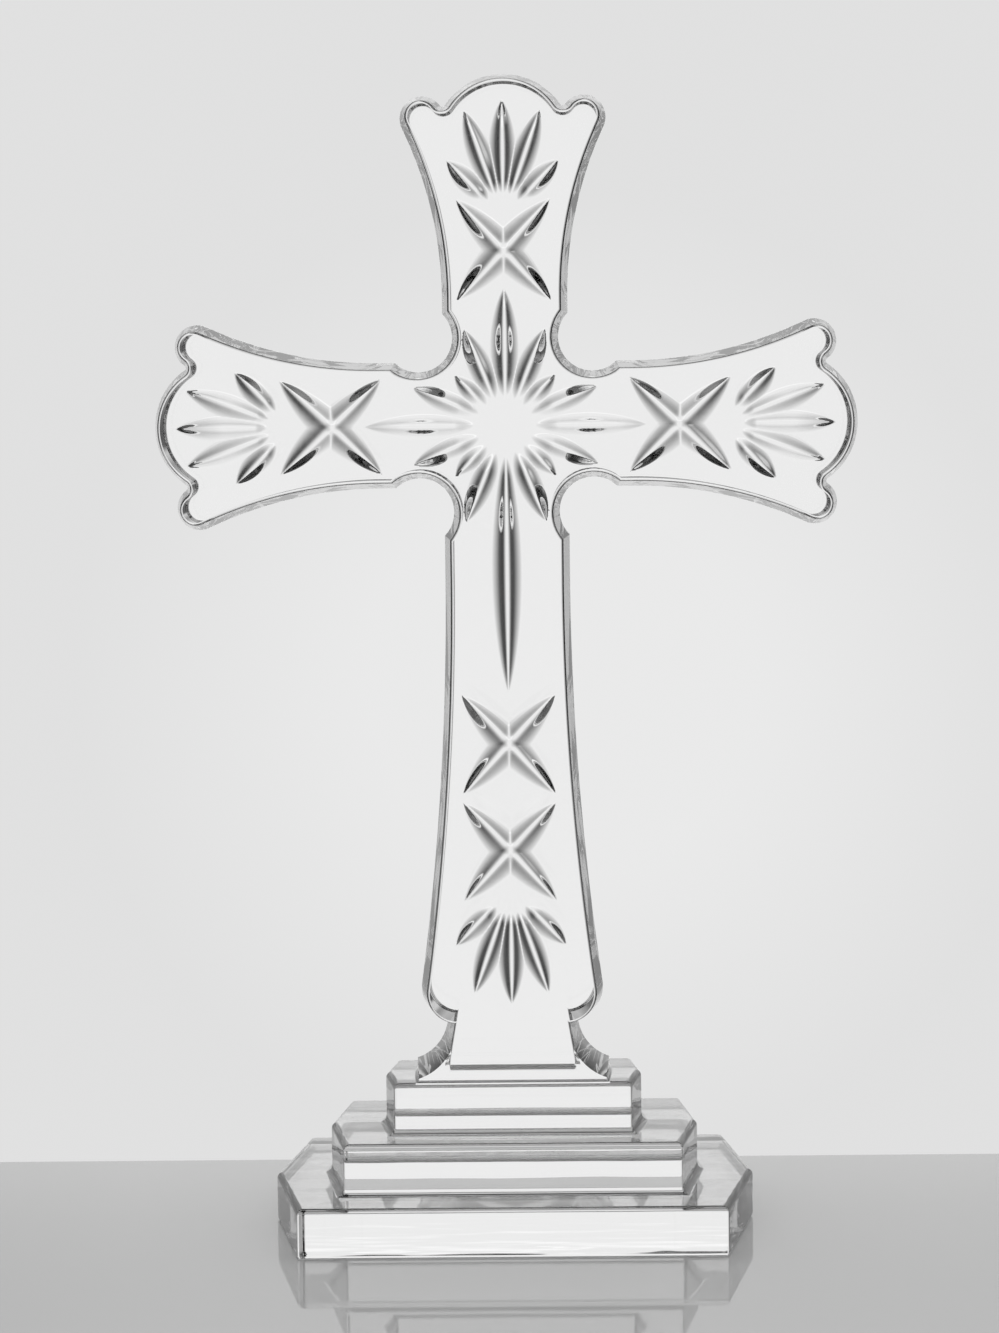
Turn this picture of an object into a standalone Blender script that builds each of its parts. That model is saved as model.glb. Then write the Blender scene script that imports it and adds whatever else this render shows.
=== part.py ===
"""Standing crystal cross on a stepped base: one pressed piece, with a cut star pattern in its front face.

Metres, +Z up, the cut face towards -Y. The origin is at the middle of the base's underside.
Outlines are sized at the widest section, halfway through the thickness.
The flat faces are smaller by the edge taper.
"""
import math

import bmesh
import bpy

MM = 0.001

# Overall sizes of the cross, in millimetres
HEIGHT = 203.2
HEAD_REACH = 61.1
ARM_REACH = 61.8
THICKNESS = 20.5
EDGE_TAPER = 1.05
EDGE_ROUND = 1.1

# Outline of the limbs
LIMB_HALF_WIDTH = 11.0
FLARE_START = 22.5
INNER_SCOOP_CENTRE = 15.3
INNER_SCOOP_RADIUS = 6.0
LOBE_RADIUS = 12.2
EAR_RADIUS = 3.9
EAR_SETBACK = 7.6
EAR_SPREAD = 14.1
NOTCH_RADIUS = 0.5

# Outline of the stem: its ears rise from the top step
STEM_FLARE_START = 27.0
STEM_EAR_RISE = 15.6
STEM_EAR_SPREAD = 9.6
STEM_EAR_RADIUS = 6.5
NECK_HALF_WIDTH = 11.3
NECK_FOOT_HALF_WIDTH = 13.0

# Cove between the stem and the top step
COVE_RADIUS = 8.0
COVE_CENTRE_X = 19.6
COVE_TOP = 36.8
COVE_TAPER = 1.9
COVE_FOOT_HALF_WIDTH = 17.1
COVE_FRONT_TOP = 33.5
COVE_FRONT_DEPTH = 9.5
COVE_SETBACK = 0.7

# Steps from the bottom up: height, half widths at the front, halfway back and at the back, depth
STEP_HEIGHTS = (8.6, 9.0, 9.1)
STEP_FRONT_HALF_WIDTHS = (37.1, 29.5, 20.9)
STEP_SIDE_HALF_WIDTHS = (42.6, 32.7, 22.8)
STEP_BACK_HALF_WIDTHS = (38.6, 30.4, 21.4)
STEP_DEPTHS = (62.6, 41.4, 24.0)
STEP_EDGE = 0.6
STEP_OVERLAP = 0.5

# Cut pattern: slope of the groove walls, and sizes of the grooves. A rise is measured from the top step
GROOVE_SLOPE = 34.0
STAR_INNER = 3.6
STAR_LENGTHS = {"side": 24.7, "flat": 17.4, "diagonal": 12.4, "steep": 18.2, "up": 23.9}
STAR_WIDTHS = {"side": 3.6, "flat": 3.4, "diagonal": 2.8, "steep": 3.6, "up": 4.2, "down": 4.6}
DOWN_RAY_RISE = 68.4
SALTIRE_ALONG = 8.9
SALTIRE_ACROSS = 8.25
SALTIRE_WIDTH = 4.0
LIMB_SALTIRE = 30.4
STEM_SALTIRE_RISES = (59.6, 40.7)
FAN_INNER = 3.0
FAN_ANGLES = (0.0, 19.7, 45.0)
FAN_LENGTHS = (20.2, 19.4, 13.7)
FAN_WIDTHS = (4.4, 4.2, 3.6)
ARM_FAN = 37.3
HEAD_FAN = 36.2
STEM_FAN_RISE = 33.8
GROOVE_STATIONS = 8
CUTTER_RISE = 1.0

ARM_AXIS = HEIGHT - HEAD_REACH
STEP_TOPS = tuple(sum(STEP_HEIGHTS[: i + 1]) for i in range(3))
BASE_TOP = STEP_TOPS[-1]
STEM_LENGTH = ARM_AXIS - BASE_TOP
STAR_LENGTHS["down"] = STEM_LENGTH - DOWN_RAY_RISE

for old in list(bpy.data.objects):
    bpy.data.objects.remove(old)


def add_mesh(name, points, faces):
    mesh = bpy.data.meshes.new(name)
    mesh.from_pydata([tuple(c * MM for c in p) for p in points], [], faces)
    bm = bmesh.new()
    bm.from_mesh(mesh)
    bmesh.ops.recalc_face_normals(bm, faces=bm.faces)
    bm.to_mesh(mesh)
    bm.free()
    obj = bpy.data.objects.new(name, mesh)
    bpy.context.scene.collection.objects.link(obj)
    return obj


def arc(centre, radius, start, end, steps):
    """Points on an arc from the start angle to the end angle, both in radians and both included."""
    points = []
    for k in range(steps + 1):
        angle = start + (end - start) * k / steps
        points.append((centre[0] + radius * math.cos(angle), centre[1] + radius * math.sin(angle)))
    return points


def towards(a, b):
    return math.atan2(b[1] - a[1], b[0] - a[0])


def touching_radius(start, half_width, ear, ear_radius):
    """Radius of the long side curve that leaves the straight side at start and touches the ear's circle."""
    along = ear[0] - start
    rise = half_width - ear[1]
    return (along**2 + rise**2 - ear_radius**2) / (2 * (ear_radius - rise))


def notch_centre(ear, lobe, ear_reach, lobe_reach):
    """Centre of the notch's circle, which touches the ear's circle and the lobe's."""
    gap = math.dist(ear, lobe)
    along = (lobe_reach**2 - ear_reach**2 + gap**2) / (2 * gap)
    across = math.sqrt(lobe_reach**2 - along**2)
    ux = (ear[0] - lobe[0]) / gap
    uy = (ear[1] - lobe[1]) / gap
    return (lobe[0] + ux * along + uy * across, lobe[1] + uy * along - ux * across)


def limb_end(reach, inset):
    """Upper half of a limb's outline from its straight side to its tip, as (distance out, half width)."""
    ear = (reach - EAR_SETBACK, EAR_SPREAD)
    lobe = (reach - LOBE_RADIUS, 0.0)
    notch = notch_centre(ear, lobe, EAR_RADIUS + NOTCH_RADIUS, LOBE_RADIUS + NOTCH_RADIUS)
    side = touching_radius(FLARE_START, LIMB_HALF_WIDTH, ear, EAR_RADIUS)
    bend = (FLARE_START, LIMB_HALF_WIDTH + side)
    points = arc(bend, side + inset, -math.pi / 2, towards(bend, ear), 12)
    start = towards(ear, bend)
    end = towards(ear, notch)
    points += arc(ear, EAR_RADIUS - inset, start, end, 10)[1:]
    start = towards(notch, ear)
    end = towards(notch, lobe)
    if end < start:
        end += 2 * math.pi
    points += arc(notch, NOTCH_RADIUS + inset, start, end, 5)[1:]
    points += arc(lobe, LOBE_RADIUS - inset, towards(lobe, notch), 0.0, 9)[1:]
    return points


def scoop(inset):
    """The round bite in an inner corner, from the side of the upright round to the side of the arm."""
    half = LIMB_HALF_WIDTH - inset
    radius = INNER_SCOOP_RADIUS + inset
    centre = (INNER_SCOOP_CENTRE, INNER_SCOOP_CENTRE)
    reach = math.sqrt(radius**2 - (INNER_SCOOP_CENTRE - half) ** 2)
    start = math.atan2(reach, half - INNER_SCOOP_CENTRE)
    end = math.atan2(half - INNER_SCOOP_CENTRE, reach) + 2 * math.pi
    return arc(centre, radius, start, end, 12)


def stem_side(inset):
    """Right side of the stem down into the base, as (half width, drop below the centre)."""
    ear = (STEM_LENGTH - STEM_EAR_RISE, STEM_EAR_SPREAD)
    side = touching_radius(STEM_FLARE_START, LIMB_HALF_WIDTH, ear, STEM_EAR_RADIUS)
    bend = (STEM_FLARE_START, LIMB_HALF_WIDTH + side)
    points = arc(bend, side + inset, -math.pi / 2, towards(bend, ear), 12)
    radius = STEM_EAR_RADIUS - inset
    neck = NECK_HALF_WIDTH - inset
    end = math.asin(max(0.0, neck - STEM_EAR_SPREAD) / radius)
    points += arc(ear, radius, towards(ear, bend), end, 10)[1:]
    foot = NECK_FOOT_HALF_WIDTH - inset
    points.append((STEM_LENGTH, foot))
    points.append((STEM_LENGTH + STEP_OVERLAP * 2, foot))
    return [(across, drop) for drop, across in points]


def cross_outline(inset):
    """Whole outline of the cross as (x, z), clockwise from the tip of the head."""
    head = [(across, out) for out, across in reversed(limb_end(HEAD_REACH, inset))]
    arm = limb_end(ARM_REACH, inset)
    right = head[:]
    right += scoop(inset)
    right += arm
    right += [(x, -z) for x, z in reversed(arm[:-1])]
    right += [(x, -z) for x, z in reversed(scoop(inset))]
    right += [(across, -drop) for across, drop in stem_side(inset)]
    left = [(-x, z) for x, z in reversed(right[1:])]
    return [(x, z + ARM_AXIS) for x, z in right + left]


def edge_rings():
    """(y, inset) from the front face to the back face: rounded edges and sides that taper from the middle."""
    half = THICKNESS / 2
    front = [(-half, EDGE_TAPER + EDGE_ROUND)]
    for angle in (60.0, 30.0, 0.0):
        turn = math.radians(angle)
        depth = half - EDGE_ROUND * (1 - math.sin(turn))
        inset = EDGE_TAPER + EDGE_ROUND * (1 - math.cos(turn))
        front.append((-depth, inset))
    return front + [(0.0, 0.0)] + [(-y, inset) for y, inset in reversed(front)]


def cross_body():
    rings = edge_rings()
    points = []
    for y, inset in rings:
        points += [(x, y, z) for x, z in cross_outline(inset)]
    count = len(points) // len(rings)
    faces = [tuple(range(count)), tuple(range((len(rings) - 1) * count, len(rings) * count))]
    for r in range(len(rings) - 1):
        for k in range(count):
            a = r * count + k
            b = r * count + (k + 1) % count
            faces.append((a, b, b + count, a + count))
    return add_mesh("crystal_cross", points, faces)


def loft(name, sections):
    """Closed solid through sections that have the same number of points."""
    count = len(sections[0])
    points = [p for section in sections for p in section]
    last = (len(sections) - 1) * count
    faces = [tuple(range(count)), tuple(range(last, last + count))]
    for s in range(len(sections) - 1):
        for k in range(count):
            a = s * count + k
            b = s * count + (k + 1) % count
            faces.append((a, b, b + count, a + count))
    return add_mesh(name, points, faces)


def cove_depth(z):
    """How far forward the front of the cove is at height z."""
    deepest = STEP_DEPTHS[2] / 2 - COVE_SETBACK
    share = min(1.0, max(0.0, (COVE_FRONT_TOP - z) / (COVE_FRONT_TOP - BASE_TOP)))
    return COVE_FRONT_DEPTH + (deepest - COVE_FRONT_DEPTH) * share**2


def cove_section(front, side):
    """Six corners of a level of the cove, given the (half width, height) of its front and side corners."""
    depth = cove_depth(front[1])
    right = [(front[0], -depth, front[1]), (side[0], 0.0, side[1]), (front[0], depth, front[1])]
    left = [(-x, -y, z) for x, y, z in right]
    return right + left


def cove():
    centre = (COVE_CENTRE_X, COVE_TOP)
    end = math.pi + math.acos((COVE_CENTRE_X - COVE_FOOT_HALF_WIDTH) / COVE_RADIUS)
    side = arc(centre, COVE_RADIUS, math.pi, end, 9)
    front = arc(centre, COVE_RADIUS + COVE_TAPER, math.pi, end, 9)
    buried = BASE_TOP - STEP_OVERLAP * 2
    sections = [cove_section((front[0][0], COVE_TOP + 1.0), (side[0][0], COVE_TOP + 1.0))]
    sections += [cove_section(f, s) for f, s in zip(front, side)]
    sections.append(cove_section((front[-1][0], buried), (side[-1][0], buried)))
    return loft("cove", sections)


def step(index):
    """One step: long six-sided plan, with small chamfers round the top and the bottom."""
    bottom = STEP_TOPS[index - 1] - STEP_OVERLAP if index else 0.0
    top = STEP_TOPS[index]
    front = STEP_FRONT_HALF_WIDTHS[index]
    side = STEP_SIDE_HALF_WIDTHS[index]
    back = STEP_BACK_HALF_WIDTHS[index]
    depth = STEP_DEPTHS[index] / 2
    levels = [(bottom, 0.0), (top - STEP_EDGE, 0.0), (top, STEP_EDGE)]
    if index == 0:
        levels = [(0.0, STEP_EDGE), (STEP_EDGE, 0.0)] + levels[1:]
    sections = []
    for z, inset in levels:
        f = front - inset
        s = side - inset
        b = back - inset
        d = depth - inset
        sections.append([(f, -d, z), (s, 0.0, z), (b, d, z), (-b, d, z), (-s, 0.0, z), (-f, -d, z)])
    return loft("step_" + str(index + 1), sections)


def groove(name, start, end, width):
    """Cutter for a leaf-shaped V groove between two points (x, z) of the front face, from the crossing."""
    slope = math.tan(math.radians(GROOVE_SLOPE))
    deepest = width / 2 * slope
    half = math.dist(start, end) / 2
    middle = ((start[0] + end[0]) / 2, (start[1] + end[1]) / 2)
    along = ((end[0] - start[0]) / (2 * half), (end[1] - start[1]) / (2 * half))
    overall = half * math.sqrt(1 + CUTTER_RISE / deepest)
    face = -THICKNESS / 2

    def place(s, t, height):
        x = middle[0] + along[0] * s - along[1] * t
        z = middle[1] + along[1] * s + along[0] * t
        return (x, face - height, z + ARM_AXIS)

    points = [place(-overall, 0.0, CUTTER_RISE)]
    for k in range(1, GROOVE_STATIONS * 2):
        s = -overall + overall * k / GROOVE_STATIONS
        depth = deepest * (1 - (s / half) ** 2)
        spread = (depth + CUTTER_RISE) / slope
        points.append(place(s, -spread, CUTTER_RISE))
        points.append(place(s, 0.0, -depth))
        points.append(place(s, spread, CUTTER_RISE))
    points.append(place(overall, 0.0, CUTTER_RISE))
    last = len(points) - 1
    faces = [(0, 1, 2), (0, 2, 3), (0, 3, 1)]
    faces += [(last, last - 2, last - 3), (last, last - 1, last - 2), (last, last - 3, last - 1)]
    for k in range(GROOVE_STATIONS * 2 - 2):
        a = 1 + 3 * k
        for i in range(3):
            b = a + (i + 1) % 3
            faces.append((a + i, b, b + 3, a + i + 3))
    obj = add_mesh(name, points, faces)
    obj.hide_render = True
    obj.display_type = "WIRE"
    return obj


def ray(angle, inner, outer):
    """Inner and outer ends of a ray from the centre, at an angle in degrees above the right arm."""
    turn = math.radians(angle)
    return [(radius * math.cos(turn), radius * math.sin(turn)) for radius in (inner, outer)]


def star_grooves():
    """Sixteen rays at the crossing, the one down the stem the longest."""
    kinds = ("side", "flat", "diagonal", "steep", "up", "steep", "diagonal", "flat")
    kinds += ("side", "flat", "diagonal", "steep", "down", "steep", "diagonal", "flat")
    made = []
    for k, kind in enumerate(kinds):
        start, end = ray(360 / len(kinds) * k, STAR_INNER, STAR_LENGTHS[kind])
        made.append(groove("star_cut_" + str(k + 1), start, end, STAR_WIDTHS[kind]))
    return made


def on_limb(point, turn):
    """A point given as (out, across) of the right arm, turned on to the limb at that many degrees."""
    angle = math.radians(turn)
    out, across = point
    x = out * math.cos(angle) - across * math.sin(angle)
    z = out * math.sin(angle) + across * math.cos(angle)
    return (x, z)


def saltire_grooves(name, distance, turn):
    """Two grooves crossed on a limb, at a distance from the centre."""
    made = []
    for k, side in enumerate((1, -1)):
        start = on_limb((distance - SALTIRE_ALONG, -SALTIRE_ACROSS * side), turn)
        end = on_limb((distance + SALTIRE_ALONG, SALTIRE_ACROSS * side), turn)
        made.append(groove(name + "_" + str(k + 1), start, end, SALTIRE_WIDTH))
    return made


def fan_grooves(name, distance, turn):
    """Five rays that open towards a limb's end from a point at a distance from the centre."""
    made = []
    for angle, length, width in zip(FAN_ANGLES, FAN_LENGTHS, FAN_WIDTHS):
        for side in (1, -1) if angle else (1,):
            start, end = ray(angle * side, FAN_INNER, length)
            start = on_limb((distance + start[0], start[1]), turn)
            end = on_limb((distance + end[0], end[1]), turn)
            made.append(groove(name + "_" + str(len(made) + 1), start, end, width))
    return made


def join(body, piece):
    modifier = body.modifiers.new("join_" + piece.name, "BOOLEAN")
    modifier.operation = "UNION"
    modifier.solver = "EXACT"
    modifier.object = piece
    piece.hide_render = True
    piece.display_type = "WIRE"


def cut(body, cutter):
    modifier = body.modifiers.new("cut_" + cutter.name, "BOOLEAN")
    modifier.operation = "DIFFERENCE"
    modifier.solver = "EXACT"
    modifier.object = cutter


body = cross_body()
join(body, cove())
for number in range(3):
    join(body, step(number))

cutters = star_grooves()
for limb, turn, fan in (("right", 0, ARM_FAN), ("head", 90, HEAD_FAN), ("left", 180, ARM_FAN)):
    cutters += saltire_grooves(limb + "_cross_cut", LIMB_SALTIRE, turn)
    cutters += fan_grooves(limb + "_fan_cut", fan, turn)
for number, rise in enumerate(STEM_SALTIRE_RISES):
    cutters += saltire_grooves("stem_cross_cut_" + str(number + 1), STEM_LENGTH - rise, -90)
cutters += fan_grooves("stem_fan_cut", STEM_LENGTH - STEM_FAN_RISE, -90)
for cutter in cutters:
    cut(body, cutter)

crystal = bpy.data.materials.new("crystal")
crystal.use_nodes = True
shader = crystal.node_tree.nodes["Principled BSDF"]
shader.inputs["Base Color"].default_value = (1.0, 1.0, 1.0, 1.0)
shader.inputs["Roughness"].default_value = 0.0
shader.inputs["IOR"].default_value = 1.54
shader.inputs["Transmission Weight"].default_value = 1.0
body.data.materials.append(crystal)
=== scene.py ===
"""Standing crystal cross: one clear pressed piece on a pale glossy table, in soft studio light.

The cross is rebuilt in the same frame as the solid, with rounded edges, filleted steps and softly cut
grooves. Lengths are in millimetres until a mesh is made. The cut face looks towards -Y.
"""
import math

import bmesh
import bpy
import numpy as np
from mathutils import Matrix, Vector
from mathutils.geometry import delaunay_2d_cdt


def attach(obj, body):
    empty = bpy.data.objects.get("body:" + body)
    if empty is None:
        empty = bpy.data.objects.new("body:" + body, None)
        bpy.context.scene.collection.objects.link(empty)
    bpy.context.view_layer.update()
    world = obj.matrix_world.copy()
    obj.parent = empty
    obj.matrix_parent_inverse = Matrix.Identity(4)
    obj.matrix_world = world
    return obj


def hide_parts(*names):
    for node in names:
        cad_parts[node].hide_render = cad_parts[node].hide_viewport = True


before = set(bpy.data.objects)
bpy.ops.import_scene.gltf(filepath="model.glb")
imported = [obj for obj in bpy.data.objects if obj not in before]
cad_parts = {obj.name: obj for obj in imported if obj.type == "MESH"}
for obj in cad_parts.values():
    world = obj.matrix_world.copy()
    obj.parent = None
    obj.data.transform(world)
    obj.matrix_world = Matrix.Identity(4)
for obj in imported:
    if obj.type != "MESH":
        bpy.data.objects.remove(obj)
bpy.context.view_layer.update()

MM = 0.001

# Cross: overall sizes, with the reach of the limbs measured from where they cross
HEIGHT = 203.2
HEAD_REACH = 61.1
ARM_REACH = 61.8
THICKNESS = 20.5
ARM_AXIS = HEIGHT - HEAD_REACH

# Side walls of the cross: a flat band in the middle, a slant to either side of it, then a rounded edge
SIDE_BAND = 4.0
EDGE_TAPER = 1.05
EDGE_ROUND = 0.6
EDGE_DEPTH = 1.25
EDGE_STEPS = 8

# Cross: outline of the limbs
LIMB_HALF_WIDTH = 11.0
FLARE_START = 22.5
INNER_SCOOP_CENTRE = 15.3
INNER_SCOOP_RADIUS = 6.0
LOBE_RADIUS = 12.2
EAR_RADIUS = 3.9
EAR_SETBACK = 7.6
EAR_SPREAD = 14.1
NOTCH_RADIUS = 0.5
SIDE_POINTS = 26
EAR_POINTS = 20
NOTCH_POINTS = 10
LOBE_POINTS = 22
SCOOP_POINTS = 24

# Stem
STEM_FLARE_START = 27.0
STEM_EAR_DROP = 99.8
STEM_EAR_SPREAD = 9.6
STEM_EAR_RADIUS = 6.5
NECK_HALF_WIDTH = 11.3
NECK_FOOT_HALF_WIDTH = 13.0
PANEL_FOOT = 25.9
STEM_SIDE_POINTS = 40

# Cove between the stem and the top step, with a lip that steps out in front
COVE_RADIUS = 8.0
COVE_CENTRE_X = 19.6
COVE_TOP = 36.8
COVE_TAPER = 1.9
COVE_FOOT_HALF_WIDTH = 17.1
COVE_NECK_DEPTH = 9.2
COVE_FOOT_DEPTH = 11.0
COVE_BACK_DEPTH = 10.1
LEDGE_TOP = 30.4
LEDGE_FOOT = 29.2
LIP_DEPTH = 10.9
LIP_HALF_WIDTH = 11.4
LIP_SLANT = 0.5
LIP_MARGIN = 0.4
LIP_FILLET = 0.6
COVE_POINTS = 24
COVE_OVERLAP = 1.0

# Steps from the bottom up. The lower edge of the bottom step is softened at three levels: height, inset.
STEP_HEIGHTS = (8.6, 9.0, 9.1)
STEP_FRONT_HALF_WIDTHS = (37.1, 29.5, 20.9)
STEP_SIDE_HALF_WIDTHS = (42.6, 32.7, 22.8)
STEP_BACK_HALF_WIDTHS = (38.6, 30.4, 21.4)
STEP_DEPTHS = (62.6, 41.4, 24.0)
STEP_TOPS = tuple(sum(STEP_HEIGHTS[: i + 1]) for i in range(3))
BASE_TOP = STEP_TOPS[-1]
STEP_ROUND = 1.1
STEP_FILLET = 1.3
STEP_CORNER = 0.45
SOFT_FOOT = ((0.0, 0.5), (0.15, 0.15), (0.5, 0.0))
CORNER_STEPS = 5
ROUND_STEPS = 7

# Cut pattern: where the cuts are, how long and how wide
STAR_INNER = 3.6
STAR_LENGTHS = {"side": 24.7, "flat": 17.4, "diagonal": 12.4, "steep": 18.2, "up": 23.9, "down": 47.0}
STAR_WIDTHS = {"side": 5.0, "flat": 4.6, "diagonal": 4.0, "steep": 4.8, "up": 5.5, "down": 5.8}
SALTIRE_ALONG = 8.9
SALTIRE_ACROSS = 8.25
SALTIRE_WIDTH = 6.6
LIMB_SALTIRE = 30.4
STEM_SALTIRES = (55.8, 74.7)
FAN_INNER = 3.0
FAN_ANGLES = (0.0, 19.7, 45.0)
FAN_LENGTHS = (20.2, 19.4, 13.7)
FAN_WIDTHS = (5.2, 5.0, 4.6)
ARM_FAN = 37.3
HEAD_FAN = 36.2
STEM_FAN = 81.6

# Shape of each cut: steepness of its walls, softness at its bottom and rim, and how it runs out
WALL_SLOPE = 1.32
BOTTOM_ROUND = 0.17
RIM_ROUND = 1.2
PLAN_FULLNESS = 0.9
TIP_SHARPNESS = 6
STAR_FADE = 5.6
FAN_FADE = 3.5
MEETING_SHARPNESS = 5
PROFILE_STEPS = 400
SLOPE_STEP = 0.02

# Mesh of the cut face: close points in and around the cuts, and every fifth one on the plain glass
GRID = 0.22
GRID_SHIFT = 0.0137
GRID_MARGIN = 1.3
PLAIN_SPACING = 5
PLAIN_DEPTH = 0.0005
RIM_GAP = 0.3

# Shading: sharpest smooth edge, weight of flat faces, and the depth down to which cuts go by their true slope
CREASE_DEGREES = 32
FLAT_FIRST = 80
SLOPE_SHADE_DEPTH = 2.2
FACE_MARGIN = 0.01

# Crystal, and the waviness of the pressed glass: waves per metre, depth, share on the base and on the cross
CRYSTAL_IOR = 1.54
WAVES = (45.0, 130.0, 110.0)
WAVE_DETAIL = 1.5
WAVE_DEPTH = 0.05
BASE_WAVES = 1.0
CROSS_WAVES = 0.05
WAVE_FADE = 4.0

# Table top
TABLE_REACH = 3000.0
TABLE_REAR = 52.0
TABLE_GAP = 0.1
TABLE_GREY = 0.49
TABLE_ROUGHNESS = 0.035
TABLE_SPECULAR = 0.30

# Camera: where it stands before it turns about the cross, its angles in degrees and its focal length
CAMERA_PLACE = (-1.67, -700.0, 158.0)
CAMERA_YAW = -0.897
CAMERA_PITCH = 4.801
CAMERA_ROLL = 0.667
FILM_HEIGHT = 36.0
FOCAL_LENGTH = FILM_HEIGHT * 3961.0 / 1333.0


def arc(centre, radius, start, end, steps):
    """Points along a circle between two angles, both ends included."""
    points = []
    for k in range(steps + 1):
        angle = start + (end - start) * k / steps
        points.append((centre[0] + radius * math.cos(angle), centre[1] + radius * math.sin(angle)))
    return points


def towards(a, b):
    """Angle of the line from a to b."""
    return math.atan2(b[1] - a[1], b[0] - a[0])


def touching_radius(start, half_width, ear, ear_radius):
    """Radius of the hollow side that leaves a straight limb at start and runs smoothly into its ear."""
    along = ear[0] - start
    rise = half_width - ear[1]
    return (along**2 + rise**2 - ear_radius**2) / (2 * (ear_radius - rise))


def notch_centre(ear, lobe, ear_reach, lobe_reach):
    """Centre of the small notch between an ear and the lobe, from its distances to their centres."""
    gap = math.dist(ear, lobe)
    along = (lobe_reach**2 - ear_reach**2 + gap**2) / (2 * gap)
    across = math.sqrt(lobe_reach**2 - along**2)
    ux = (ear[0] - lobe[0]) / gap
    uy = (ear[1] - lobe[1]) / gap
    return (lobe[0] + ux * along + uy * across, lobe[1] + uy * along - ux * across)


def limb_end(reach, inset):
    """Upper half of a limb's outline from its straight side to its tip, as (distance out, half width)."""
    ear = (reach - EAR_SETBACK, EAR_SPREAD)
    lobe = (reach - LOBE_RADIUS, 0.0)
    notch = notch_centre(ear, lobe, EAR_RADIUS + NOTCH_RADIUS, LOBE_RADIUS + NOTCH_RADIUS)
    side = touching_radius(FLARE_START, LIMB_HALF_WIDTH, ear, EAR_RADIUS)
    bend = (FLARE_START, LIMB_HALF_WIDTH + side)
    points = arc(bend, side + inset, -math.pi / 2, towards(bend, ear), SIDE_POINTS)
    points += arc(ear, EAR_RADIUS - inset, towards(ear, bend), towards(ear, notch), EAR_POINTS)[1:]
    start = towards(notch, ear)
    end = towards(notch, lobe)
    if end < start:
        end += 2 * math.pi
    points += arc(notch, NOTCH_RADIUS + inset, start, end, NOTCH_POINTS)[1:]
    points += arc(lobe, LOBE_RADIUS - inset, towards(lobe, notch), 0.0, LOBE_POINTS)[1:]
    return points


def scoop(inset):
    """The round bite in an inner corner."""
    half = LIMB_HALF_WIDTH - inset
    radius = INNER_SCOOP_RADIUS + inset
    reach = math.sqrt(radius**2 - (INNER_SCOOP_CENTRE - half) ** 2)
    start = math.atan2(reach, half - INNER_SCOOP_CENTRE)
    end = math.atan2(half - INNER_SCOOP_CENTRE, reach) + 2 * math.pi
    return arc((INNER_SCOOP_CENTRE, INNER_SCOOP_CENTRE), radius, start, end, SCOOP_POINTS)


def stem_side(inset):
    """Right side of the stem down into the base, as (half width, drop below the centre)."""
    ear = (STEM_EAR_DROP, STEM_EAR_SPREAD)
    side = touching_radius(STEM_FLARE_START, LIMB_HALF_WIDTH, ear, STEM_EAR_RADIUS)
    bend = (STEM_FLARE_START, LIMB_HALF_WIDTH + side)
    points = arc(bend, side + inset, -math.pi / 2, towards(bend, ear), STEM_SIDE_POINTS)
    radius = STEM_EAR_RADIUS - inset
    neck = NECK_HALF_WIDTH - inset
    end = math.asin((neck - STEM_EAR_SPREAD) / radius)
    points += arc(ear, radius, towards(ear, bend), end, EAR_POINTS)[1:]
    foot = NECK_FOOT_HALF_WIDTH - inset
    points.append((ARM_AXIS - PANEL_FOOT - inset, foot))
    return [(across, drop) for drop, across in points]


def cross_outline(inset):
    """Whole outline of the cross as (x, z), clockwise from the tip of the head."""
    right = [(across, out) for out, across in reversed(limb_end(HEAD_REACH, inset))]
    arm = limb_end(ARM_REACH, inset)
    right += scoop(inset)
    right += arm
    right += [(x, -z) for x, z in reversed(arm[:-1])]
    right += [(x, -z) for x, z in reversed(scoop(inset))]
    right += [(across, -drop) for across, drop in stem_side(inset)]
    left = [(-x, z) for x, z in reversed(right[1:])]
    return [(x, z + ARM_AXIS) for x, z in right + left]


def edge_rings():
    """Section of the side walls from the front face to the back, as (y, inset of the outline)."""
    half = THICKNESS / 2
    front = []
    for k in range(EDGE_STEPS + 1):
        turn = math.pi / 2 * (1 - k / EDGE_STEPS)
        depth = half - EDGE_DEPTH * (1 - math.sin(turn))
        front.append((-depth, EDGE_TAPER + EDGE_ROUND * (1 - math.cos(turn))))
    back = [(-y, inset) for y, inset in reversed(front)]
    return front + [(-SIDE_BAND / 2, 0.0), (SIDE_BAND / 2, 0.0)] + back


def new_object(name, points, faces):
    """Object from points in millimetres, with its faces turned outwards."""
    mesh = bpy.data.meshes.new(name)
    mesh.from_pydata([tuple(c * MM for c in p) for p in points], [], faces)
    bm = bmesh.new()
    bm.from_mesh(mesh)
    bmesh.ops.recalc_face_normals(bm, faces=bm.faces)
    bm.to_mesh(mesh)
    bm.free()
    obj = bpy.data.objects.new(name, mesh)
    bpy.context.scene.collection.objects.link(obj)
    return obj


def loft(name, sections):
    """Closed solid through sections that have the same number of points."""
    count = len(sections[0])
    points = [p for section in sections for p in section]
    last = (len(sections) - 1) * count
    faces = [tuple(range(count)), tuple(range(last, last + count))]
    for s in range(len(sections) - 1):
        for k in range(count):
            a = s * count + k
            b = s * count + (k + 1) % count
            faces.append((a, b, b + count, a + count))
    return new_object(name, points, faces)


def cross_slab():
    """The cross with its panel and neck, before the cuts."""
    sections = [[(x, y, z) for x, z in cross_outline(inset)] for y, inset in edge_rings()]
    return loft("crystal_cross_body", sections)


def blend(value, low, high):
    """Smooth step from 0 at low to 1 at high."""
    share = min(1.0, max(0.0, (value - low) / (high - low)))
    return share * share * (3 - 2 * share)


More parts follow.
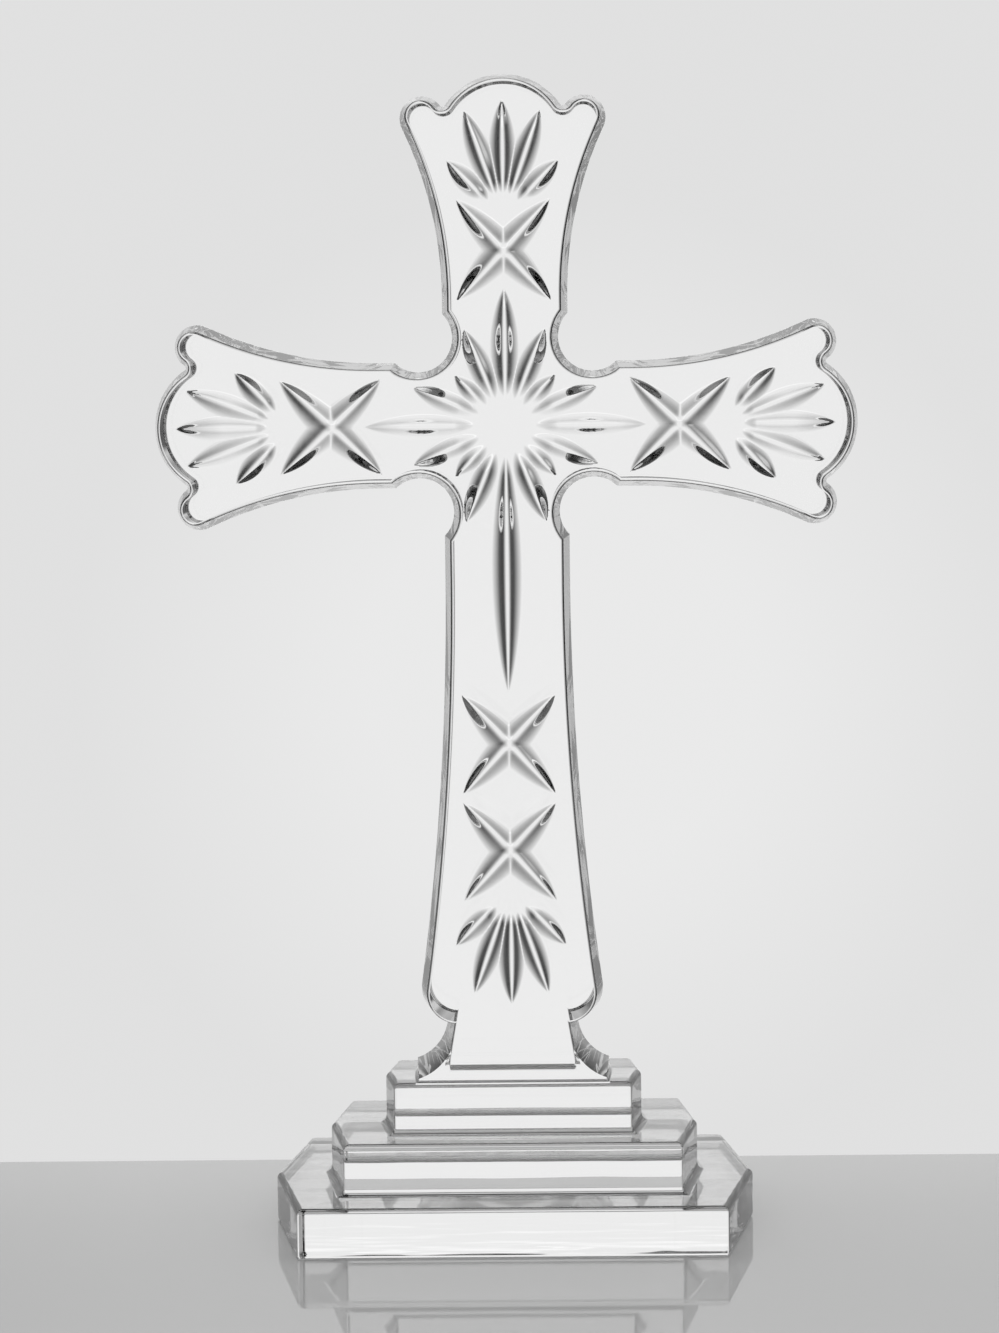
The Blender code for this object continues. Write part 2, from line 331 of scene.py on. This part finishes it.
def cove_section(front, side, spread=0.0):
    """Level of the cove: in front it steps out below the foot of the panel, and behind it stays flush."""
    z = front[1]
    flare = blend(-z, -COVE_TOP, -BASE_TOP)
    beside = COVE_NECK_DEPTH + (COVE_FOOT_DEPTH - COVE_NECK_DEPTH) * flare + spread
    behind = COVE_NECK_DEPTH + (COVE_BACK_DEPTH - COVE_NECK_DEPTH) * flare + spread
    ledge = COVE_NECK_DEPTH + (LIP_DEPTH - COVE_NECK_DEPTH) * blend(-z, -LEDGE_TOP, -LEDGE_FOOT)
    ledge += (COVE_FOOT_DEPTH - LIP_DEPTH) * blend(-z, -LEDGE_FOOT, -BASE_TOP) + spread
    width = front[0] + spread
    inner = min(LIP_HALF_WIDTH - LIP_SLANT, width - 2 * LIP_MARGIN)
    outer = min(LIP_HALF_WIDTH + LIP_SLANT, width - LIP_MARGIN)
    right = [(inner, -ledge, z), (outer, -beside, z), (width, -beside, z)]
    right += [(side[0] + spread, 0.0, side[1]), (width, behind, z)]
    return right + [(-x, y, z) for x, y, z in reversed(right)]


def quarter_turn():
    """Angles from level to upright, for fillets and rounded edges."""
    return [math.pi / 2 * k / (ROUND_STEPS - 1) for k in range(ROUND_STEPS)]


def cove():
    """Foot of the stem: hollow at the sides, with a small fillet where it meets the top step."""
    centre = (COVE_CENTRE_X, COVE_TOP)
    end = math.pi + math.acos((COVE_CENTRE_X - COVE_FOOT_HALF_WIDTH) / COVE_RADIUS)
    side = arc(centre, COVE_RADIUS, math.pi, end, COVE_POINTS)
    front = arc(centre, COVE_RADIUS + COVE_TAPER, math.pi, end, COVE_POINTS)
    foot = BASE_TOP + LIP_FILLET
    buried = BASE_TOP - COVE_OVERLAP
    raised = COVE_TOP + COVE_OVERLAP
    sections = [cove_section((front[0][0], raised), (side[0][0], raised))]
    sections += [cove_section(f, s) for f, s in zip(front, side)]
    for turn in quarter_turn():
        level = foot - LIP_FILLET * math.sin(turn)
        ends = (front[-1][0], min(level, front[-1][1])), (side[-1][0], min(level, side[-1][1]))
        sections.append(cove_section(*ends, LIP_FILLET * (1 - math.cos(turn))))
    ends = (front[-1][0], buried), (side[-1][0], buried)
    sections.append(cove_section(*ends, LIP_FILLET))
    return loft("cove", sections)


def step_plan(front, side, back, depth, corner):
    """Six-sided plan with rounded corners, as (x, y)."""
    corners = [(front, -depth), (side, 0.0), (back, depth)]
    corners += [(-x, y) for x, y in reversed(corners)]
    plan = []
    for k, here in enumerate(corners):
        here = Vector(here)
        before = (Vector(corners[k - 1]) - here).normalized()
        after = (Vector(corners[(k + 1) % len(corners)]) - here).normalized()
        half_angle = before.angle(after) / 2
        bisector = (before + after).normalized()
        centre = here + bisector * (corner / math.sin(half_angle))
        first = here + before * (corner / math.tan(half_angle)) - centre
        last = here + after * (corner / math.tan(half_angle)) - centre
        start = math.atan2(first.y, first.x)
        turn = math.atan2(last.y, last.x) - start
        turn = (turn + math.pi) % (2 * math.pi) - math.pi
        plan += arc(centre, corner, start, start + turn, CORNER_STEPS)
    return plan


def fillet(low, radius):
    """Levels of a fillet up from a tread, as (height, inset)."""
    return [(low + radius * (1 - math.cos(turn)), -radius * (1 - math.sin(turn))) for turn in quarter_turn()]


def rounded(top, radius):
    """Levels of a rounded edge up to a tread, as (height, inset)."""
    return [(top - radius * (1 - math.sin(turn)), radius * (1 - math.cos(turn))) for turn in quarter_turn()]


def steps():
    """The three steps in one solid: rounded upper edges, and a fillet where each riser meets the tread."""
    sections = []
    for i, top in enumerate(STEP_TOPS):
        if i == 0:
            levels = list(SOFT_FOOT)
        else:
            levels = fillet(STEP_TOPS[i - 1], STEP_FILLET)
        levels += rounded(top, STEP_ROUND)
        for z, inset in levels:
            f = STEP_FRONT_HALF_WIDTHS[i] - inset
            s = STEP_SIDE_HALF_WIDTHS[i] - inset
            b = STEP_BACK_HALF_WIDTHS[i] - inset
            d = STEP_DEPTHS[i] / 2 - inset
            sections.append([(x, y, z) for x, y in step_plan(f, s, b, d, STEP_CORNER)])
    return loft("steps", sections)


def ray(angle, inner, outer):
    """Ends of a cut that points away from a centre, for an angle in degrees."""
    turn = math.radians(angle)
    return [(radius * math.cos(turn), radius * math.sin(turn)) for radius in (inner, outer)]


def on_limb(point, turn):
    """Turns a point of the right arm, as (out, across), onto another limb."""
    out, across = point
    c = math.cos(math.radians(turn))
    s = math.sin(math.radians(turn))
    return (out * c - across * s, out * s + across * c)


def star_grooves():
    """Each cut is kept as its two ends, its width and the length over which its inner end fades out."""
    kinds = ("side", "flat", "diagonal", "steep", "up", "steep", "diagonal", "flat")
    kinds += ("side", "flat", "diagonal", "steep", "down", "steep", "diagonal", "flat")
    made = []
    for k, kind in enumerate(kinds):
        start, end = ray(360 / len(kinds) * k, STAR_INNER, STAR_LENGTHS[kind])
        made.append((start, end, STAR_WIDTHS[kind], STAR_FADE))
    return made


def saltire_grooves(distance, turn):
    """Two crossing cuts at a distance out along a limb."""
    made = []
    for side in (1, -1):
        start = on_limb((distance - SALTIRE_ALONG, -SALTIRE_ACROSS * side), turn)
        end = on_limb((distance + SALTIRE_ALONG, SALTIRE_ACROSS * side), turn)
        made.append((start, end, SALTIRE_WIDTH, 0.0))
    return made


def fan_grooves(distance, turn):
    """Five cuts that open towards the end of a limb."""
    made = []
    for angle, length, width in zip(FAN_ANGLES, FAN_LENGTHS, FAN_WIDTHS):
        for side in (1, -1) if angle else (1,):
            start, end = ray(angle * side, FAN_INNER, length)
            start = on_limb((distance + start[0], start[1]), turn)
            end = on_limb((distance + end[0], end[1]), turn)
            made.append((start, end, width, FAN_FADE))
    return made


def all_grooves():
    grooves = star_grooves()
    for turn, fan in ((0, ARM_FAN), (90, HEAD_FAN), (180, ARM_FAN)):
        grooves += saltire_grooves(LIMB_SALTIRE, turn)
        grooves += fan_grooves(fan, turn)
    for distance in STEM_SALTIRES:
        grooves += saltire_grooves(distance, -90)
    return grooves + fan_grooves(STEM_FAN, -90)


GROOVES = all_grooves()


def wall_profile():
    """Depth of a cut across its half width, both as shares of that width, for walls that slope by 1."""
    t = np.linspace(0, 1, PROFILE_STEPS + 1)
    slope = (1 - np.exp(-((t / BOTTOM_ROUND) ** 2))) * (1 - t**2) ** RIM_ROUND
    slope /= slope.max()
    drop = np.concatenate([[0], np.cumsum((slope[1:] + slope[:-1]) / 2) / PROFILE_STEPS])
    return t, drop[-1] - drop


PROFILE = wall_profile()


def relief(x, z):
    """Depth of the cuts at points of the front face, with x and z as arrays measured from the crossing."""
    total = np.zeros_like(x)
    for start, end, width, run_in in GROOVES:
        half = math.dist(start, end) / 2
        ux = (end[0] - start[0]) / (2 * half)
        uz = (end[1] - start[1]) / (2 * half)
        dx = x - (start[0] + end[0]) / 2
        dz = z - (start[1] + end[1]) / 2
        along = dx * ux + dz * uz
        lens = 1 - (along / half) ** 2
        inside = lens > 0
        lens = np.where(inside, lens, 1.0)
        reach = lens**PLAN_FULLNESS * width / 2
        across = np.abs(dz * ux - dx * uz) / reach
        fade = 1 - (1 - lens) ** TIP_SHARPNESS
        if run_in:
            share = np.clip((along + half) / run_in, 0, 1)
            fade = fade * share * share * (3 - 2 * share)
        depth = WALL_SLOPE * fade * reach * np.interp(across, *PROFILE, right=0.0)
        total += np.where(inside, depth, 0.0) ** MEETING_SHARPNESS
    return total ** (1 / MEETING_SHARPNESS)


def relief_normals(x, z):
    """Outward normals of the carved front face."""
    slope_x = (relief(x + SLOPE_STEP, z) - relief(x - SLOPE_STEP, z)) / (2 * SLOPE_STEP)
    slope_z = (relief(x, z + SLOPE_STEP) - relief(x, z - SLOPE_STEP)) / (2 * SLOPE_STEP)
    normals = np.stack([slope_x, -np.ones_like(x), slope_z], axis=1)
    return normals / np.linalg.norm(normals, axis=1)[:, None]


def inside_polygon(x, z, outline):
    """Which points lie inside an outline, by counting the sides that they would cross."""
    inside = np.zeros(len(x), bool)
    for (x0, z0), (x1, z1) in zip(outline, outline[1:] + outline[:1]):
        crosses = (z0 > z) != (z1 > z)
        if z1 != z0:
            inside ^= crosses & (x < (x1 - x0) * (z - z0) / (z1 - z0) + x0)
    return inside


def face_points():
    """Points spread over the flat front face: close together in the cuts, wide apart on the plain glass."""
    outline = cross_outline(EDGE_TAPER + EDGE_ROUND + RIM_GAP)
    columns = np.arange(-ARM_REACH, ARM_REACH, GRID)
    rows = np.arange(PANEL_FOOT, HEIGHT, GRID)
    x, z = [a.ravel() for a in np.meshgrid(columns, rows)]
    odd = (np.round((z - rows[0]) / GRID).astype(int) % 2) == 1
    x = x + np.where(odd, GRID / 2, 0.0)
    x = x + GRID_SHIFT
    near = np.zeros(len(x), bool)
    aside = GRID_MARGIN
    for dx, dz in ((0, 0), (aside, 0), (-aside, 0), (0, aside), (0, -aside)):
        near |= relief(x + dx * GRID, z + dz * GRID - ARM_AXIS) > PLAIN_DEPTH
    coarse = (np.round(z / GRID).astype(int) % PLAIN_SPACING == 0)
    coarse &= (np.round(x / GRID).astype(int) % PLAIN_SPACING == 0)
    keep = (near | coarse) & inside_polygon(x, z, outline)
    return x[keep], z[keep]


def carve(obj):
    """Swaps the flat front face for one with the cuts pressed into it."""
    bm = bmesh.new()
    bm.from_mesh(obj.data)
    face_y = -THICKNESS / 2 * MM
    flat = [f for f in bm.faces if all(abs(v.co.y - face_y) < 1e-7 for v in f.verts)]
    counts = {}
    for face in flat:
        for edge in face.edges:
            counts[edge] = counts.get(edge, 0) + 1
    rim = [edge for edge, count in counts.items() if count == 1]
    rim_points = list({v for edge in rim for v in edge.verts})
    index = {v: k for k, v in enumerate(rim_points)}
    coords = [Vector((v.co.x / MM, v.co.z / MM)) for v in rim_points]
    x, z = face_points()
    coords += [Vector(p) for p in zip(x.tolist(), z.tolist())]
    edges = [(index[e.verts[0]], index[e.verts[1]]) for e in rim]
    out, _, faces, origin, _, _ = delaunay_2d_cdt(coords, edges, [], 1, 1e-5)
    bmesh.ops.delete(bm, geom=flat, context="FACES_ONLY")
    loose = [e for e in bm.edges if not e.link_faces]
    bmesh.ops.delete(bm, geom=loose, context="EDGES")
    bm.verts.ensure_lookup_table()
    px = np.array([p.x for p in out])
    pz = np.array([p.y for p in out])
    depth = relief(px, pz - ARM_AXIS)
    made = []
    for k, sources in enumerate(origin):
        known = [s for s in sources if s < len(rim_points)]
        if known:
            made.append(rim_points[known[0]])
        else:
            made.append(bm.verts.new((px[k] * MM, face_y + depth[k] * MM, pz[k] * MM)))
    for a, b, c in faces:
        if len({made[a], made[b], made[c]}) == 3:
            bm.faces.new((made[a], made[b], made[c]))
    bmesh.ops.recalc_face_normals(bm, faces=bm.faces)
    bm.to_mesh(obj.data)
    bm.free()


def drop_seam_points(obj):
    """Takes out points that only break up a seam between two faces, where thin folds would form."""
    bm = bmesh.new()
    bm.from_mesh(obj.data)
    bmesh.ops.dissolve_verts(bm, verts=[v for v in bm.verts if len(v.link_edges) == 2])
    bm.to_mesh(obj.data)
    bm.free()


def apply_modifiers(obj):
    graph = bpy.context.evaluated_depsgraph_get()
    mesh = bpy.data.meshes.new_from_object(obj.evaluated_get(graph))
    obj.modifiers.clear()
    old = obj.data
    obj.data = mesh
    bpy.data.meshes.remove(old)


def unite(obj, other):
    modifier = obj.modifiers.new("join", "BOOLEAN")
    modifier.operation = "UNION"
    modifier.solver = "EXACT"
    modifier.object = other
    apply_modifiers(obj)
    bpy.data.objects.remove(other)


def crease(obj):
    """Smooth shading with crisp creases: at sharp edges, and along the flat band of the side walls."""
    mesh = obj.data
    mesh.shade_smooth()
    bm = bmesh.new()
    bm.from_mesh(mesh)
    band = SIDE_BAND / 2 * MM
    for edge in bm.edges:
        on_band = all(abs(abs(v.co.y) - band) < 1e-6 and v.co.z > BASE_TOP * MM for v in edge.verts)
        edge.smooth = edge.calc_face_angle(0.0) < math.radians(CREASE_DEGREES) and not on_band
    bm.to_mesh(mesh)
    bm.free()


def read(collection, attribute, width, kind=np.float32):
    """One attribute of all of a mesh's points, corners or faces, as an array."""
    values = np.empty(len(collection) * width, kind)
    collection.foreach_get(attribute, values)
    return values.reshape(-1, width) if width > 1 else values


def smooth(obj):
    """Shading that keeps flat faces flat, with the cuts shaded by their true slope."""
    crease(obj)
    weights = obj.modifiers.new("flat_first", "WEIGHTED_NORMAL")
    weights.keep_sharp = True
    weights.mode = "FACE_AREA"
    weights.weight = FLAT_FIRST
    apply_modifiers(obj)
    mesh = obj.data
    normals = read(mesh.corner_normals, "vector", 3)
    corner = read(mesh.loops, "vertex_index", 1, np.int32)
    points = read(mesh.vertices, "co", 3) / MM
    totals = read(mesh.polygons, "loop_total", 1, np.int32)
    facing = np.repeat(read(mesh.polygons, "normal", 3), totals, axis=0)
    at = points[corner]
    front = (at[:, 1] < -THICKNESS / 2 + SLOPE_SHADE_DEPTH) & (facing[:, 1] < -0.5) & (at[:, 2] > PANEL_FOOT)
    outline = cross_outline(EDGE_TAPER + EDGE_ROUND - FACE_MARGIN)
    front &= inside_polygon(points[:, 0], points[:, 2], outline)[corner]
    normals[front] = relief_normals(at[front, 0].astype(float), at[front, 2].astype(float) - ARM_AXIS)
    mesh.normals_split_custom_set(normals.tolist())


def crystal_cross():
    """The whole piece as one closed mesh."""
    body = cross_slab()
    unite(body, cove())
    unite(body, steps())
    carve(body)
    drop_seam_points(body)
    smooth(body)
    return body


def clear_crystal():
    """See-through crystal with a faint waviness, most of it on the base."""
    material = bpy.data.materials.new("clear_crystal")
    material.use_nodes = True
    nodes = material.node_tree.nodes
    links = material.node_tree.links
    shader = nodes["Principled BSDF"]
    shader.inputs["Base Color"].default_value = (1.0, 1.0, 1.0, 1.0)
    shader.inputs["Roughness"].default_value = 0.0
    shader.inputs["IOR"].default_value = CRYSTAL_IOR
    shader.inputs["Transmission Weight"].default_value = 1.0
    place = nodes.new("ShaderNodeTexCoord")
    stretch = nodes.new("ShaderNodeMapping")
    stretch.inputs["Scale"].default_value = WAVES
    waves = nodes.new("ShaderNodeTexNoise")
    waves.inputs["Scale"].default_value = 1.0
    waves.inputs["Detail"].default_value = WAVE_DETAIL
    split = nodes.new("ShaderNodeSeparateXYZ")
    above_base = nodes.new("ShaderNodeMapRange")
    above_base.inputs["From Min"].default_value = BASE_TOP * MM
    above_base.inputs["From Max"].default_value = (BASE_TOP + WAVE_FADE) * MM
    above_base.inputs["To Min"].default_value = BASE_WAVES
    above_base.inputs["To Max"].default_value = CROSS_WAVES
    bump = nodes.new("ShaderNodeBump")
    bump.inputs["Distance"].default_value = WAVE_DEPTH * MM
    links.new(place.outputs["Object"], stretch.inputs["Vector"])
    links.new(stretch.outputs["Vector"], waves.inputs["Vector"])
    links.new(place.outputs["Object"], split.inputs["Vector"])
    links.new(split.outputs["Z"], above_base.inputs["Value"])
    links.new(waves.outputs["Fac"], bump.inputs["Height"])
    links.new(above_base.outputs["Result"], bump.inputs["Strength"])
    links.new(bump.outputs["Normal"], shader.inputs["Normal"])
    return material


def pale_table():
    """Pale grey gloss finish of the table."""
    material = bpy.data.materials.new("pale_gloss_table")
    material.use_nodes = True
    shader = material.node_tree.nodes["Principled BSDF"]
    shader.inputs["Base Color"].default_value = (TABLE_GREY, TABLE_GREY, TABLE_GREY, 1.0)
    shader.inputs["Roughness"].default_value = TABLE_ROUGHNESS
    shader.inputs["Specular IOR Level"].default_value = TABLE_SPECULAR
    return material


def table():
    """Table top that ends a little behind the base, as in the photograph."""
    sides = ((-TABLE_REACH, -TABLE_REACH), (TABLE_REACH, -TABLE_REACH))
    sides += ((TABLE_REACH, TABLE_REAR), (-TABLE_REACH, TABLE_REAR))
    obj = new_object("table", [(x, y, -TABLE_GAP) for x, y in sides], [(0, 1, 2, 3)])
    obj.data.materials.append(pale_table())


# What the camera alone sees behind the cross, lighting nothing: a painted pool of light, brighter in the
# middle and darker aside.
# Its tone in the middle, aside, the degrees between which it fades, and how far the middle lies below level
BACKGROUND = 0.82
BACKGROUND_EDGE = 0.75
PAINTED_POOL_FADE = (3, 7)
VIEW_DIP = 5
# Light that falls on the table
SOFT_LIGHT = 1.0
# Light that shows through the crystal. Each one is brightness over the degrees aside from +Y, then over the
# degrees upwards, and the two are multiplied. The card at the right goes by degrees to that side only.
BACKDROP = (
    ((0, 0.88), (6, 0.88), (12, 0.70), (20, 0.50), (28, 0.26), (32, 0.10), (37, 0.02), (47, 0.0), (180, 0.0)),
    ((-90, 0.25), (-46, 0.25), (-34, 0.9), (-20, 1.0), (22, 1.0), (32, 0.92), (38, 0.4), (44, 0.1), (52, 0.0)),
)
LOW_SURROUND = (
    ((0, 0.0), (34, 0.0), (44, 0.1), (180, 0.1)),
    ((-90, 1.0), (-10, 1.0), (-6, 0.0), (90, 0.0)),
)
HORIZON = (
    ((0, 0.0), (66, 0.0), (80, 0.35), (180, 0.35)),
    ((-90, 0.0), (-8, 0.0), (-5, 1.0), (5, 1.0), (8, 0.0)),
)
GLOW = (
    ((0, 0.15), (10, 0.15), (16, 0.0), (180, 0.0)),
    ((-90, 0.0), (8, 0.0), (9.5, 1.0), (11.7, 1.0), (12.6, 0.0), (90, 0.0)),
)
ROOM = (
    ((0, 0.0), (66, 0.0), (84, 0.45), (180, 0.45)),
    ((-90, 0.0), (4, 0.0), (9, 1.0), (60, 1.0), (76, 0.0), (90, 0.0)),
)
SIDE_CARD = (
    ((0, 0.0), (27, 0.0), (31, 0.5), (39, 0.5), (43, 0.0)),
    ((0, 0.0), (9, 0.0), (13, 1.0), (21, 1.0), (26, 0.0)),
)


def feed(tree, socket, value):
    """Sets a socket to a number, or links it to another node's output."""
    if isinstance(value, (int, float)):
        socket.default_value = value
    else:
        tree.links.new(value, socket)


def maths(tree, operation, *inputs):
    """One step of arithmetic on numbers or outputs."""
    node = tree.nodes.new("ShaderNodeMath")
    node.operation = operation
    for socket, value in zip(node.inputs, inputs):
        feed(tree, socket, value)
    return node.outputs["Value"]


def ramp(tree, source, stops, low, high):
    """Looks a brightness up in a short table of (angle, brightness)."""
    share = maths(tree, "DIVIDE", maths(tree, "SUBTRACT", source, low), high - low)
    node = tree.nodes.new("ShaderNodeValToRGB")
    elements = node.color_ramp.elements
    for k, (angle, value) in enumerate(stops):
        place = (angle - low) / (high - low)
        stop = elements[k] if k < 2 else elements.new(place)
        stop.position = place
        stop.color = (value, value, value, 1.0)
    tree.links.new(share, node.inputs["Fac"])
    return node.outputs["Color"]


def mixed(tree, factor, a, b):
    """Value a where the factor is 0 and b where it is 1."""
    node = tree.nodes.new("ShaderNodeMix")
    node.data_type = "FLOAT"
    tree.links.new(factor, node.inputs["Factor"])
    feed(tree, node.inputs["A"], a)
    feed(tree, node.inputs["B"], b)
    return node.outputs["Result"]


def studio():
    """Pale surroundings for the camera, painted brighter behind the cross as a pool of light; even light for
    the table; and the light that shows through the crystal.
    """
    world = bpy.data.worlds.new("studio")
    bpy.context.scene.world = world
    world.use_nodes = True
    tree = world.node_tree
    place = tree.nodes.new("ShaderNodeTexCoord")
    split = tree.nodes.new("ShaderNodeSeparateXYZ")
    tree.links.new(place.outputs["Generated"], split.inputs["Vector"])
    degrees = 180 / math.pi
    signed = maths(tree, "MULTIPLY", maths(tree, "ARCTAN2", split.outputs["X"], split.outputs["Y"]), degrees)
    across = maths(tree, "ABSOLUTE", signed)
    upward = maths(tree, "MULTIPLY", maths(tree, "ARCSINE", split.outputs["Z"]), degrees)
    lights = [(across, light) for light in (BACKDROP, LOW_SURROUND, HORIZON, GLOW, ROOM)]
    total = 0.0
    for angle, (sideways, height) in lights + [(signed, SIDE_CARD)]:
        share = ramp(tree, upward, height, -90, 90)
        light = maths(tree, "MULTIPLY", ramp(tree, angle, sideways, 0, 180), share)
        total = maths(tree, "ADD", light, total)
    path = tree.nodes.new("ShaderNodeLightPath")
    on_table = maths(tree, "GREATER_THAN", path.outputs["Diffuse Depth"], 0.5)
    through = mixed(tree, on_table, total, SOFT_LIGHT)
    # The camera's own backdrop is painted light: brighter within a few degrees of the middle, as a pool of
    # light, and darker aside
    above = maths(tree, "ADD", upward, VIEW_DIP)
    squares = [maths(tree, "MULTIPLY", angle, angle) for angle in (across, above)]
    off_axis = maths(tree, "SQRT", maths(tree, "ADD", *squares))
    inner, outer = PAINTED_POOL_FADE
    fade = ((0, BACKGROUND), (inner, BACKGROUND), (outer, BACKGROUND_EDGE), (180, BACKGROUND_EDGE))
    near = ramp(tree, off_axis, fade, 0, 180)
    seen = mixed(tree, path.outputs["Is Camera Ray"], through, near)
    tree.links.new(seen, tree.nodes["Background"].inputs["Color"])
    bpy.context.scene.view_settings.view_transform = "Standard"


def camera():
    """Camera as fitted to the photograph: level with the arms, tipped slightly down and rolled."""
    yaw = math.radians(CAMERA_YAW)
    pitch = math.radians(CAMERA_PITCH)
    roll = math.radians(CAMERA_ROLL)
    place = Matrix.Rotation(-yaw, 3, "Z") @ Vector(CAMERA_PLACE)
    forward = Matrix.Rotation(-yaw, 3, "Z") @ Vector((0.0, math.cos(pitch), -math.sin(pitch)))
    level = forward.cross(Vector((0, 0, 1))).normalized()
    upright = level.cross(forward)
    right = level * math.cos(roll) - upright * math.sin(roll)
    up = upright * math.cos(roll) + level * math.sin(roll)
    lens = bpy.data.cameras.new("camera")
    lens.sensor_width = FILM_HEIGHT
    lens.lens = FOCAL_LENGTH
    lens.clip_start = 0.01
    lens.clip_end = 50.0
    obj = bpy.data.objects.new("camera", lens)
    bpy.context.scene.collection.objects.link(obj)
    turn = Matrix((right, up, -forward)).transposed()
    obj.matrix_world = Matrix.Translation(place * MM) @ turn.to_4x4()
    bpy.context.scene.camera = obj


camera()
studio()
table()
cross = crystal_cross()
cross.data.materials.clear()
cross.data.materials.append(clear_crystal())
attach(cross, "root")
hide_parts("crystal_cross")
